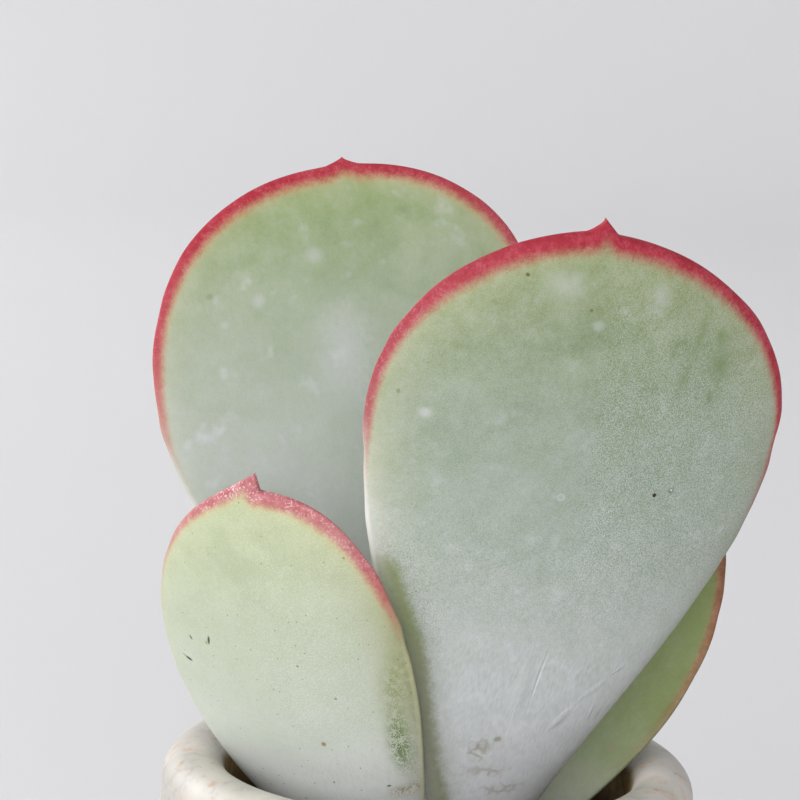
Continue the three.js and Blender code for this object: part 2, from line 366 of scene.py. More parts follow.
YOUNG = dict(
    base_z=STEM_TOP + SEAT, base_radius=1.1,
    length=9.5, half_width=2.5, base_half_width=1.8, widest_at=0.55, roundness=1.7,
    left=margin_shape(1.1, 0.0, 0.08, 1.3), right=margin_shape(1.1, 0.0, 0.08, 1.3),
    lean_base=2.0, lean_tip=9.0, twist=0.0, bow=0.0, cup=0.12,
    half_thickness=1.2, mucro=0.5, mucro_shift=0.0,
)


def body_half_width(leaf, margin, distance):
    """Half the blade's width on one side without the small point: a wedge and a round top."""
    share = np.minimum(distance / (leaf["length"] - margin["drop"]), 1)
    swell = np.sin(np.minimum(share / leaf["widest_at"], 1) * math.pi / 2) ** margin["shoulder"]
    wedge = lerp(leaf["base_half_width"], leaf["half_width"], swell)
    over = np.clip((share - leaf["widest_at"]) / (1 - leaf["widest_at"]), 0, 1)
    round_top = leaf["half_width"] * (1 - over ** leaf["roundness"]) ** (1 / leaf["roundness"])
    return np.where(share < leaf["widest_at"], wedge, round_top)


def half_width_at(leaf, distance, right):
    """Half the blade's width on one side, with the flank of the small point on top."""
    margin = leaf["right"] if right else leaf["left"]
    start = leaf["length"] - margin["drop"] - margin["sink"]
    rise = np.clip((distance - start) / (leaf["length"] + leaf["mucro"] - start), 0, 1)
    flank = body_half_width(leaf, margin, start) * (1 - rise) ** margin["power"]
    return np.maximum(body_half_width(leaf, margin, distance), flank) * margin["scale"]


def half_thickness_at(leaf, distance):
    share = distance / leaf["length"]
    fat = leaf["half_thickness"] * (0.9 + 0.1 * smooth(share, 0, 0.3) - 0.22 * smooth(share, 0.4, 0.95))
    near_tip = smooth(leaf["length"] - distance, -leaf["mucro"], POINT_TAPER)
    return lerp(POINT_HALF_THICKNESS, fat, near_tip ** 0.6)


def leaf_points(leaf, distance, across, out):
    """Points of the leaf: distance along the midrib, across it, and out of its outer face."""
    length = leaf["length"]
    share = (distance / length)[:, None]
    start = math.radians(leaf["lean_base"])
    bend = math.radians(leaf["lean_tip"] - leaf["lean_base"])
    lean = start + bend * share
    reach = length * (math.cos(start) - np.cos(lean)) / bend
    rise = length * (np.sin(lean) - math.sin(start)) / bend
    turn = math.radians(leaf["azimuth"])
    outward = np.array([math.sin(turn), -math.cos(turn), 0])
    sideways = np.array([math.cos(turn), math.sin(turn), 0])
    up = np.array([0, 0, 1.0])
    facing = outward * np.cos(lean) - up * np.sin(lean)
    twist = math.radians(leaf["twist"])
    lateral = sideways * math.cos(twist) + facing * math.sin(twist)
    normal = facing * math.cos(twist) - sideways * math.sin(twist)
    leaning = leaf["mucro_shift"] * smooth(distance, length - 1, length + leaf["mucro"])
    bowed = (across + leaning)[:, None] + leaf["bow"] * length * 4 * share * (1 - share)
    cupped = (out - leaf["cup"] * across ** 2 / 2)[:, None]
    foot = np.array([STEM_X, STEM_Y, leaf["base_z"]])
    return foot + outward * (leaf["base_radius"] + reach) + up * rise + lateral * bowed + normal * cupped


def polyline_distance(flat, line):
    """How far flat points lie from a line through given points, in mm."""
    starts = line[:-1]
    runs = line[1:] - starts
    lengths = np.maximum((runs ** 2).sum(1), 1e-12)
    nearest = np.empty(len(flat))
    for first in range(0, len(flat), POINTS_AT_ONCE):
        block = slice(first, first + POINTS_AT_ONCE)
        offset = flat[block][:, None, :] - starts[None]
        share = np.clip((offset * runs[None]).sum(2) / lengths[None], 0, 1)
        gap = offset - share[..., None] * runs[None]
        nearest[block] = np.sqrt((gap ** 2).sum(2).min(1))
    return nearest


def edge_distance(leaf, across, distance):
    """How far points of the flat blade lie from its outline, in mm."""
    whole = leaf["length"] + leaf["mucro"]
    steps = whole * (1 - np.linspace(1, 0, OUTLINE_STEPS) ** 2)
    right = half_width_at(leaf, steps, True)
    left = half_width_at(leaf, steps, False)
    outline = np.concatenate([np.stack([right, steps], 1), np.stack([-left, steps], 1)[::-1]])
    return polyline_distance(np.stack([across, distance], 1), outline)


def leaf_skin(leaf, rings, around, seed):
    """The leaf's points and, for each, where it lies on the blade."""
    polar = np.linspace(math.pi, 0, rings + 2)[1:-1]
    even = np.linspace(0, 2 * math.pi, around, endpoint=False)
    turn = even + RIM_CROWDING * np.sin(2 * even) / 2
    polar, turn = (a.ravel() for a in np.meshgrid(polar, turn, indexing="ij"))
    length = leaf["length"]
    whole = length + leaf["mucro"]
    distance = whole * (1 + np.cos(polar)) / 2
    across_share = np.cos(turn)
    side = np.sin(turn)
    from_base = np.minimum(distance / (BASE_ROUNDING_SHARE * length), 1)
    rounding = np.sqrt(1 - (1 - from_base) ** 2)
    right = across_share > 0
    right_width, left_width = (half_width_at(leaf, distance, on_right) for on_right in (True, False))
    width = np.where(right, right_width, left_width) * rounding
    fat = half_thickness_at(leaf, distance) * rounding
    rim = np.minimum(RIM_HALF_THICKNESS, fat)
    lens = rim * np.abs(side) ** 0.5 + (fat - rim) * np.abs(side) ** 1.6
    margin = np.stack([np.where(right, 9.0, -9.0), distance, np.full_like(distance, 2.0 * seed)], 1)
    wave = MARGIN_WAVE * noise_of(margin, MARGIN_WAVE_LENGTH, seed)
    wave = wave * smooth(distance, 0.3 * length, 0.7 * length)
    across = across_share * (width + wave * across_share ** 4 * smooth(width, 2, 8))
    flat = np.stack([across, distance, np.full_like(across, 3.0 * seed)], 1)
    ease = smooth(distance, 0.15 * length, 0.4 * length)
    scale = min(leaf["half_width"] / FULL_SWAY_HALF_WIDTH, 1.0)
    long_waves = noise_of(flat, LONG_SWAY * scale, seed)
    short_waves = noise_of(flat, SHORT_SWAY * scale, seed + 1)
    sway = SWAY * scale * ease * (long_waves + 0.35 * short_waves)
    out = np.sign(side) * lens + sway
    distance = np.concatenate([[0.0], distance, [whole]])
    across = np.concatenate([[0.0], across, [0.0]])
    out = np.concatenate([[0.0], out, [0.0]])
    side = np.concatenate([[0.0], side, [0.0]])
    return leaf_points(leaf, distance, across, out), distance, across, side


# A leaf's flat map holds across and along in mm, with its two faces this far to either side of zero,
# so that a mark shows on one face only.
FACE_LIFT = 60.0
SIDE_BLEND = 2.5
# Distance in mm given to points far from the strip of rubbed farina and painted contact shadow.
CLEAR_OF_RUB_AND_SHADOW = 9.0


def leaf_object(leaf, look, seed):
    points, distance, across, side = leaf_skin(leaf, LEAF_RINGS, LEAF_AROUND, seed)
    edge = edge_distance(leaf, across, distance)
    share = distance / leaf["length"]
    right = smooth(across, -SIDE_BLEND, SIDE_BLEND)

    def both(name):
        """A value that runs along the leaf in its own way on the left and on the right."""
        on_left, on_right = (along_curve(share, look[name + ending]) for ending in ("_left", "_right"))
        return lerp(on_left, on_right, right)

    # Distance from the strip where the next leaf rubbed the farina off and where its contact shadow and
    # green reflected light are painted.
    rub_and_shadow_distance = np.full(len(points), CLEAR_OF_RUB_AND_SHADOW)
    if look["rub_and_shadow_line"]:
        rub_and_shadow_distance = polyline_distance(np.stack([across, distance], 1), np.array(look["rub_and_shadow_line"]))
        rub_and_shadow_distance[side <= 0] = CLEAR_OF_RUB_AND_SHADOW
    values = {
        "leaf_mm": np.stack([across, distance, np.sign(side) * FACE_LIFT], 1),
        "edge": edge,
        "share": share,
        "margin": edge / both("band"),
        "bloom": along_curve(share, look["bloom"]),
        "rub_and_shadow_distance": rub_and_shadow_distance,
    }
    for name in ("red", "pale", "frost", "rim", "grain"):
        values[name] = both(name)
    # The yellow band is the leaf's own tint; the shade band is painted shade and the highlight band painted
    # highlight, each fading away from the margin.
    for name in ("yellow", "dull", "powder"):
        values[name] = both(name) * np.exp(-edge / look[name + "_reach"])
    return mesh_object(leaf["name"] + "_fine", points, ball_faces(LEAF_RINGS, LEAF_AROUND), values)


CRACK_SPACING = 1.5


def leaf_material(name, look):
    """Green flesh under a waxy bloom, with a yellower zone and a red band along the margin, and painted
    shade and painted highlight beside it.
    """
    s = Shade(name)
    place = s.coordinates()
    blade = s.value("leaf_mm", "Vector")
    edge = s.value("edge")
    cloud = s.noise(place, 9)
    patch = s.noise(place, 2.6, 3, 0.6)
    fleck = s.noise(place, 0.8, 2, 0.6)
    grain = s.noise(place, 0.14, 1)
    streak = s.noise(s.stretch(blade, (1.0, 0.3, 1.0)), 0.3, 1)
    low = s.step(s.value("share"), 0.45, 0.3)

    tone = s.total(cloud, s.swing(patch, 0.7))
    green = s.mix(s.step(tone, 0.2, 0.8), look["green_dark"], look["green_light"])
    green = s.mix(s.step(s.value("share"), 0.92, 0.62), green, look["green_cool"])
    yellowing = s.times(s.value("yellow"), s.step(patch, 0.2, 0.7, 0.8, 1.0), True)
    green = s.mix(yellowing, green, look["yellow"])

    mottle = look["mottle"]
    dust = s.times(s.value("grain"), s.mix_value(low, s.swing(grain, 1.2), s.swing(streak, 0.7)))
    blot = s.step(s.noise(place, 3.6, 2, 0.6), 0.58, 0.8, 0.0, look["blots"])
    cover = s.total(s.value("bloom"), s.swing(cloud, look["clouds"]), s.swing(patch, 0.36 * mottle),
                    s.swing(fleck, 0.26 * mottle), blot, dust)
    skin = s.mix(s.held(cover), green, look["bloom_colour"])

    # Painted shade: the blade turns grey beside the margin where it curves away from the light.
    dull = s.value("dull")
    dull = s.total(dull, s.times(dull, s.total(s.swing(fleck, 0.8), s.swing(grain, 0.8))))
    skin = s.mix(s.held(dull), skin, look["dull_colour"])

    wander = s.total(s.swing(fleck, 1.2), s.swing(grain, 0.6))
    cracks = s.cells(s.stretch(place, (1.0, 1.0, 1.4)), CRACK_SPACING, "Distance", "DISTANCE_TO_EDGE")
    # Beside the next leaf: farina rubbed off, with painted contact shadow and painted green reflection.
    if look["rub_and_shadow_line"]:
        near = s.total(s.value("rub_and_shadow_distance"), s.times(wander, 0.7))
        rub_and_shadow_grain = s.times(s.step(near, 6.0, 2.0), s.step(grain, 0.5, 0.36))
        skin = s.mix(s.step(near, 4.6, 1.4, 0.0, 0.5), skin, look["rub_and_shadow_soft"])
        skin = s.mix(s.times(rub_and_shadow_grain, s.mix_value(low, 0.5, 0.15)), skin, look["rub_and_shadow_old"])
        rub_and_shadow_colour = s.mix(low, look["rub_and_shadow_fresh"], look["rub_and_shadow_old"])
        skin = s.mix(s.step(near, 2.8, 1.3, 0.0, 0.95), skin, rub_and_shadow_colour)
    for spot in look["marks"]:
        away = s.total(s.spot_distance(blade, spot), s.times(wander, spot["ragged"]))
        share = s.step(away, 1.0, spot["core"], 0.0, spot["strength"])
        if spot["grainy"]:
            share = s.times(share, s.step(s.total(grain, s.swing(fleck, 0.8)), 0.42, 0.6, 0.15, 1.0))
        if spot["cracked"]:
            share = s.times(share, s.step(cracks, 0.2, 0.06, 0.15, 1.0))
        skin = s.mix(share, skin, spot["colour"])
    for period, radius, dotted in look["specks"]:
        dots = s.specks(place, period, radius, dotted)
        skin = s.mix(s.times(dots, 0.65), skin, look["speck_colour"])

    feather = s.total(s.value("margin"), s.swing(patch, 0.3), s.swing(fleck, 0.4), s.swing(grain, 0.45))
    blush = s.step(s.total(fleck, s.swing(patch, 0.8)), 0.3, 0.72)
    red = s.mix(blush, look["red_deep"], look["red_bright"])
    red = s.mix(s.value("pale"), red, look["red_pale"])
    red = s.mix(s.times(s.step(edge, 0.7, 0.15), look["red_line"]), red, look["red_edge"])
    flakes = s.step(s.total(s.noise(place, 0.3, 1, 0.6), s.swing(patch, 0.5)), 0.54, 0.68)
    dusting = s.times(s.total(s.times(flakes, 0.75), s.swing(fleck, 0.4), 0.12), s.value("frost"))
    red = s.mix(s.held(dusting), red, look["frost_colour"])
    tan = s.times(s.step(feather, 1.9, 1.0, 0.0, look["tan"]), s.value("red"))
    skin = s.mix(tan, skin, look["tan_colour"])
    skin = s.mix(s.times(s.step(feather, 1.55, 0.45), s.value("red"), True), skin, red)

    # Painted highlight: a pale band inside the lit left margin, then the white rim line, which is partly
    # the edge's own colour and partly painted highlight.
    powder = s.value("powder")
    powder = s.total(powder, s.times(powder, s.swing(fleck, 0.7)))
    skin = s.mix(powder, skin, look["rim_colour"])
    rim = s.times(s.step(edge, 0.5, 0.1), s.value("rim"), True)
    skin = s.mix(rim, skin, look["rim_colour"])

    height = s.total(s.times(grain, 0.2), s.times(fleck, 0.5), s.times(streak, s.times(low, 0.35)))
    for dent in look["relief"]:
        depth = s.step(s.spot_distance(blade, dent), 1.0, 0.2, 0.0, dent["strength"])
        height = s.total(height, depth)
    s.bump(height, 0.6, 0.14)
    rough = s.step(cover, 0.0, 1.0, look["rough_bare"], look["rough_bloom"])
    return s.finish(skin, rough, Specular_IOR_Level=0.2)


def mark(across, along, wide, tall=None, colour=None, strength=1.0, core=0.4, ragged=0.0, turn=0.0,
         grainy=False, cracked=False, face=1):
    """An oval mark or dent on one face of a leaf, with its middle and half-sizes in mm."""
    return dict(point=(across, along, face * FACE_LIFT), size=(wide, tall or wide, 1.0), colour=colour,
                strength=strength, core=core, ragged=ragged, turn=turn, grainy=grainy, cracked=cracked)


def alike(**curves):
    """The same curves for the left and the right side of a leaf."""
    return {name + ending: curve for name, curve in curves.items() for ending in ("_left", "_right")}


NOWHERE = [(0, 0.0)]
WAX = srgb(208, 210, 214)
# White wax; on the raised scratches it also stands as painted highlight.
WHITE_WAX_AND_HIGHLIGHT = srgb(226, 228, 230)
FROST = srgb(226, 206, 210)
PALE_RIM = srgb(226, 226, 222)
CORK = srgb(138, 128, 104)
DARK_SPECK = srgb(58, 48, 36)
RUBBED = srgb(104, 130, 70)

# How each leaf looks. A curve is a list of (share of the leaf's length, value). band is the red margin's
# width in mm and red its strength, pale and frost are how faded and how dusty it is, rim is the white
# line on the very edge, partly the edge's own colour and partly painted highlight, and grain the fine
# grain of the bloom. Beside the margin the yellow band tints the blade, the shade band darkens it as
# painted shade where it curves away from the light, and the highlight band lightens it as painted
# highlight; each fades over its reach in mm. The rub line runs along the strip where the next leaf
# rubbed the farina off, with its contact shadow and green reflected light painted in.
LARGE_FRONT_LOOK = dict(
    green_dark=srgb(118, 136, 88), green_light=srgb(134, 150, 100), green_cool=srgb(129, 147, 119),
    yellow=srgb(180, 184, 124),
    bloom_colour=WAX,
    bloom=[(0, 0.98), (0.2, 0.87), (0.3, 0.76), (0.36, 0.66), (0.42, 0.56), (0.5, 0.42), (0.6, 0.32),
           (0.75, 0.25), (1, 0.12)],
    band_left=[(0, 0.3), (0.6, 0.35), (0.72, 0.8), (0.87, 1.35), (0.97, 1.8), (1, 1.85)],
    band_right=[(0, 0.6), (0.7, 0.7), (0.77, 1.25), (0.9, 1.6), (1, 1.85)],
    red_left=[(0.5, 0.0), (0.56, 0.15), (0.62, 0.4), (0.7, 0.9), (0.78, 1.0)],
    red_right=[(0.54, 0.0), (0.6, 0.35), (0.66, 0.7), (0.7, 0.95), (0.78, 1.0)],
    pale_left=[(0.6, 1.0), (0.72, 0.8), (0.87, 0.35), (1, 0.0)],
    pale_right=[(0.6, 0.3), (0.8, 0.0)],
    frost_left=[(0.6, 0.3), (0.8, 0.15), (1, 0.05)],
    frost_right=[(0.6, 0.2), (0.8, 0.1), (1, 0.05)],
    # The white rim line on the lit left edge is painted highlight.
    rim_left=[(0.1, 0.3), (0.35, 0.9), (0.54, 0.9), (0.62, 0.3), (0.7, 0.0)],
    rim_right=[(0.3, 0.2), (0.6, 0.0)],
    yellow_left=[(0.35, 0.0), (0.5, 0.3), (0.65, 0.8), (0.9, 0.7), (1, 0.5)],
    yellow_right=[(0.5, 0.1), (0.8, 0.5), (1, 0.5)],
    yellow_reach=3.4,
    dull_left=NOWHERE,
    # Painted shade along the lower right margin, where the blade curves away from the light.
    dull_right=[(0.1, 0.2), (0.25, 0.45), (0.5, 0.5), (0.7, 0.6), (0.85, 0.3)],
    dull_reach=1.6, dull_colour=srgb(126, 122, 108),
    # Painted highlight along the lit left margin.
    powder_left=[(0.2, 0.5), (0.4, 0.75), (0.5, 0.8), (0.58, 0.5), (0.66, 0.1), (0.72, 0.0)],
    powder_right=NOWHERE,
    powder_reach=1.3,
    red_deep=srgb(162, 38, 54), red_bright=srgb(180, 54, 72), red_pale=srgb(178, 90, 98),
    red_edge=srgb(140, 26, 40), red_line=0.3,
    tan=0.3, tan_colour=srgb(184, 150, 112), frost_colour=FROST, rim_colour=PALE_RIM,
    grain_left=[(0, 0.2), (0.2, 0.4), (0.36, 0.8), (0.5, 0.9), (0.6, 0.5), (1, 0.4)],
    grain_right=[(0, 0.3), (0.2, 0.5), (0.36, 0.9), (0.5, 1.4), (0.75, 1.4), (0.9, 0.8), (1, 0.5)],
    mottle=0.8, clouds=0.18, blots=0.2,
    specks=[(3.4, 0.13, 0.12)], speck_colour=srgb(92, 88, 62), rough_bare=0.5, rough_bloom=0.75,
    # The strip beside the small front leaf: rubbed farina with a painted contact shadow and painted green
    # reflection.
    rub_and_shadow_line=[(-22.3, 38.2), (-20.0, 33.8), (-17.8, 30.0), (-15.6, 25.1), (-13.5, 19.8), (-11.0, 14.3),
              (-8.4, 9.4)],
    rub_and_shadow_soft=srgb(152, 160, 148), rub_and_shadow_fresh=srgb(108, 124, 54), rub_and_shadow_old=srgb(122, 127, 94),
    marks=[
        mark(14.6, 62.2, 0.6, 1.4, RUBBED, 0.8, 0.1, 0.6, grainy=True),
        mark(12.5, 70.1, 0.8, 3.2, RUBBED, 0.6, 0.1, 0.5, -0.25, grainy=True),
        mark(15.6, 66.2, 2.4, 3.0, RUBBED, 0.6, 0.1, 0.8, grainy=True),
        mark(15.4, 69.6, 1.2, 2.2, RUBBED, 0.6, 0.1, 0.6, grainy=True),
        mark(10.4, 64.4, 1.2, 1.8, RUBBED, 0.4, 0.1, 0.6, grainy=True),
        mark(-5.1, 75.2, 3.6, 2.8, WAX, 0.28, 0.0, 1.0),
        mark(-1.2, 70.8, 1.2, 1.0, WAX, 0.35, 0.1, 0.6),
        mark(-9.8, 76.0, 0.35, 0.3, srgb(96, 74, 44), 0.8),
        mark(8.9, 50.0, 0.32, colour=DARK_SPECK, core=0.6),
        mark(11.1, 50.5, 0.5, colour=srgb(110, 118, 92), strength=0.7),
        mark(11.1, 50.6, 0.2, colour=WHITE_WAX_AND_HIGHLIGHT, strength=0.8),
        mark(-2.2, 72.6, 0.3, colour=srgb(120, 100, 70), strength=0.7),
        mark(-23.7, 60.6, 0.35, colour=srgb(130, 122, 86), strength=0.6),
        mark(-20.5, 58.5, 1.2, 0.9, WAX, 0.5, 0.1, 0.4),
        mark(6.8, 74.5, 1.6, 2.2, WAX, 0.3, 0.1, 0.5),
        mark(-3.2, 49.6, 0.62, colour=WAX, strength=0.35, core=0.6),
        mark(-3.2, 49.6, 0.36, colour=srgb(152, 164, 146), strength=0.5, core=0.5),
        mark(-5.2, 17.0, 1.9, 1.9, CORK, 0.5, 0.3, 1.0, cracked=True),
        mark(-3.4, 18.4, 0.7, 0.5, CORK, 0.7, 0.2, 0.5),
        mark(-3.4, 14.2, 3.6, 1.0, CORK, 0.4, 0.2, 0.8, cracked=True),
        mark(-1.2, 11.8, 4.4, 1.1, CORK, 0.4, 0.2, 0.8, 0.15, cracked=True),
        mark(9.6, 20.9, 0.5, 1.3, srgb(120, 126, 100), 0.6, 0.1, 0.8, -0.2, grainy=True),
        # Pale lines along the raised wax scratches: partly scratched wax and partly painted highlight.
        mark(-0.6, 26.6, 0.17, 4.0, WHITE_WAX_AND_HIGHLIGHT, 0.7, 0.1, 0.1, -0.08),
        mark(5.0, 21.6, 0.3, 2.4, WHITE_WAX_AND_HIGHLIGHT, 0.6, 0.1, 0.1, -0.7),
        mark(7.6, 24.4, 0.16, 2.6, WHITE_WAX_AND_HIGHLIGHT, 0.6, 0.1, 0.1, -0.95),
    ],
    relief=[
        mark(-0.6, 26.6, 0.3, 4.2, strength=1.0, turn=-0.08),
        mark(-2.4, 25.2, 1.2, 5.0, strength=-1.4),
        mark(7.4, 24.6, 0.6, 2.8, strength=-1.2, turn=-0.95),
        mark(4.1, 21.2, 0.75, 2.4, strength=-1.8, turn=-0.7),
        mark(8.2, 21.6, 0.4, 1.5, strength=-1.2, turn=-0.1),
        mark(10.1, 26.9, 0.3, 1.5, strength=-1.0, turn=-1.0),
        mark(-5.0, 17.0, 1.6, 1.2, strength=1.2),
    ],
)
LARGE_BACK_LOOK = dict(
    LARGE_FRONT_LOOK,
    green_dark=srgb(132, 153, 98), green_light=srgb(148, 165, 110), green_cool=srgb(140, 160, 112),
    yellow=srgb(190, 186, 126),
    bloom=[(0, 0.95), (0.3, 0.86), (0.45, 0.78), (0.57, 0.66), (0.65, 0.54), (0.75, 0.42), (0.85, 0.28),
           (0.94, 0.15), (1, 0.1)],
    band_left=[(0.6, 0.5), (0.75, 1.0), (0.9, 1.5), (1, 1.7)],
    band_right=[(0.6, 0.5), (0.7, 0.95), (0.8, 1.1), (0.93, 1.6), (1, 1.75)],
    **alike(
        red=[(0.52, 0.0), (0.58, 0.12), (0.66, 0.7), (0.75, 1.0)],
        yellow=[(0.4, 0.1), (0.6, 0.5), (0.8, 0.7), (1, 0.6)],
        frost=[(0, 0.1)],
        grain=[(0, 0.2)],
    ),
    pale_left=[(0.6, 0.6), (0.9, 0.3), (1, 0.0)],
    pale_right=[(0.6, 0.9), (0.7, 0.6), (0.8, 0.35), (0.92, 0.0)],
    rim_left=[(0.5, 0.3), (0.62, 0.0)], rim_right=[(0.5, 0.5), (0.62, 0.0)],
    yellow_reach=2.4,
    dull_right=NOWHERE,
    powder_left=NOWHERE,
    red_deep=srgb(170, 42, 58), red_bright=srgb(184, 58, 74), red_pale=srgb(190, 108, 110),
    red_edge=srgb(170, 48, 62), red_line=0.4, tan=0.45, tan_colour=srgb(200, 160, 116),
    mottle=0.6, clouds=0.3, blots=0.3,
    marks=[
        mark(2.0, 60.0, 6.0, 9.0, WAX, 0.5, 0.0, 0.8, face=-1),
        mark(-3.0, 52.0, 6.0, 9.0, WAX, 0.25, 0.0, 0.8, face=-1),
        mark(5.0, 72.0, 1.8, 1.4, WAX, 0.35, 0.1, 0.5, face=-1),
        mark(12.4, 67.1, 1.2, 1.5, WAX, 0.4, 0.1, 0.4, face=-1),
        mark(16.9, 64.6, 0.9, 0.7, WAX, 0.3, 0.1, 0.3, face=-1),
        mark(18.6, 68.2, 0.8, 0.6, RUBBED, 0.35, 0.2, 0.3, face=-1),
        mark(-6.9, 76.5, 1.6, 1.2, RUBBED, 0.3, 0.1, 0.4, face=-1),
    ],
    relief=[],
    rub_and_shadow_line=None,
)
SMALL_FRONT_LOOK = dict(
    LARGE_BACK_LOOK,
    green_dark=srgb(170, 179, 146), green_light=srgb(182, 190, 156), green_cool=srgb(174, 183, 158),
    yellow=srgb(192, 190, 138),
    bloom_colour=srgb(222, 227, 225),
    bloom=[(0, 1.0), (0.3, 0.96), (0.36, 0.78), (0.44, 0.5), (0.55, 0.28), (0.68, 0.17),
           (0.85, 0.08), (1, 0.05)],
    band_left=[(0.75, 0.4), (0.85, 0.6), (0.92, 0.95), (0.967, 1.3), (1, 1.6)],
    band_right=[(0.65, 0.5), (0.722, 0.75), (0.83, 0.95), (0.956, 1.2), (1, 1.4)],
    red_left=[(0.66, 0.0), (0.78, 0.3), (0.86, 0.75), (0.93, 0.95), (1, 1.0)],
    red_right=[(0.6, 0.0), (0.66, 0.3), (0.72, 0.8), (0.8, 1.0)],
    pale_left=[(0.85, 0.8), (0.93, 0.4), (0.97, 0.1), (1, 0.1)],
    pale_right=[(0.7, 0.0), (0.78, 0.1), (0.87, 0.6), (0.95, 0.2), (1, 0.1)],
    frost_left=[(0.85, 0.1), (0.93, 0.35), (0.97, 0.7), (1, 1.0)],
    frost_right=[(0.72, 0.0), (0.85, 0.4), (0.95, 0.45), (0.98, 0.7), (1, 1.0)],
    rim_left=[(0.3, 0.15), (0.8, 0.0)],
    rim_right=[(0.2, 0.4), (0.55, 0.4), (0.66, 0.0)],
    yellow_left=[(0.5, 0.2), (0.9, 0.4), (1, 0.8)],
    yellow_right=[(0.3, 0.6), (0.6, 0.9), (1, 0.8)],
    yellow_reach=1.8,
    # Painted shade along the right margin, where the blade curves away from the light.
    dull_right=[(0.15, 0.3), (0.3, 0.6), (0.45, 0.8), (0.66, 0.8), (0.76, 0.3), (0.84, 0.0)],
    dull_reach=2.0, dull_colour=srgb(132, 134, 92),
    red_deep=srgb(166, 74, 82), red_bright=srgb(184, 98, 102), red_pale=srgb(190, 132, 128), red_line=0.0,
    tan=0.4, tan_colour=srgb(196, 172, 122), rim_colour=srgb(206, 204, 168),
    grain_left=[(0, 0.25), (0.5, 0.45), (1, 0.6)], grain_right=[(0, 0.4), (0.5, 0.9), (1, 0.8)],
    mottle=0.5, clouds=0.16, blots=0.0,
    specks=[(0.9, 0.12, 0.4), (2.3, 0.2, 0.35)], speck_colour=srgb(92, 94, 48),
    marks=[
        mark(-10.2, 36.5, 0.24, 0.45, srgb(84, 78, 44), 0.75, turn=0.5),
        mark(-7.1, 36.7, 0.26, 0.78, DARK_SPECK, 0.9, turn=-0.25),
        mark(-7.6, 36.3, 0.3, 0.35, srgb(150, 140, 80), 0.6),
        mark(-11.7, 33.3, 0.8, 0.26, DARK_SPECK, 0.95, turn=-0.3),
        mark(-12.4, 33.6, 0.5, 0.25, srgb(150, 140, 80), 0.6, turn=-0.3),
        mark(4.4, 22.8, 0.4, colour=srgb(150, 110, 60), strength=0.8),
        mark(4.3, 53.9, 0.36, colour=srgb(126, 92, 44), strength=0.9),
        mark(12.9, 48.0, 0.55, colour=FROST, strength=0.8, core=0.7),
        mark(12.9, 48.0, 0.3, colour=srgb(206, 140, 144), strength=0.9, core=0.7),
        mark(14.4, 28.0, 2.8, 10.0, srgb(132, 142, 90), 0.8, 0.0, 0.4, -0.25, grainy=True),
        mark(12.6, 20.8, 2.0, 6.6, srgb(106, 128, 72), 0.95, 0.2, 0.4, -0.22, grainy=True),
        mark(10.6, 14.4, 3.0, 1.4, srgb(146, 126, 94), 0.8, 0.2, 0.7, grainy=True),
        mark(9.2, 15.6, 0.3, 0.2, DARK_SPECK, 0.8),
    ],
    relief=[mark(12.9, 48.0, 0.55, strength=2.0)],
)
SMALL_BACK_LOOK = dict(
    LARGE_BACK_LOOK,
    # Darker greens and greyer wax: partly this leaf's own colour and partly painted shade, as it stands in
    # the others' shade.
    green_dark=srgb(108, 122, 70), green_light=srgb(122, 136, 82), green_cool=srgb(110, 124, 72),
    yellow=srgb(126, 132, 82),
    bloom_colour=srgb(176, 178, 172),
    bloom=[(0, 0.9), (0.15, 0.8), (0.26, 0.5), (0.36, 0.22), (0.5, 0.07), (0.7, 0.04), (1, 0.04)],
    **alike(
        band=[(0.3, 0.6), (0.55, 0.8), (0.8, 0.9), (1, 1.2)],
        red=[(0.3, 0.0), (0.45, 0.3), (0.6, 0.75), (0.75, 0.95)],
        yellow=[(0, 0.3)],
        pale=NOWHERE,
        rim=NOWHERE,
    ),
    red_deep=srgb(128, 84, 60), red_bright=srgb(146, 96, 70), red_edge=srgb(128, 84, 60),
    tan=0.3, tan_colour=srgb(140, 122, 84),
    mottle=0.5, clouds=0.25, blots=0.0,
    marks=[mark(-10.6, 20.2, 1.0, 0.7, CORK, 0.6, 0.1, 0.4, face=-1)],
)


def make_leaves():
    looks = [
        (LARGE_FRONT, LARGE_FRONT_LOOK, "leaf_sage_front"),
        (LARGE_BACK, LARGE_BACK_LOOK, "leaf_sage_back"),
        (SMALL_FRONT, SMALL_FRONT_LOOK, "leaf_lime"),
        (SMALL_BACK, SMALL_BACK_LOOK, "leaf_green"),
    ]
    for number, (leaf, look, slot) in enumerate(looks):
        piece = leaf_object(leaf, look, SEED + 3 * number)
        piece.data.materials.append(leaf_material(slot + "_skin", look))
        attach(piece, "root")
        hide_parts(leaf["name"])


# Growing tip

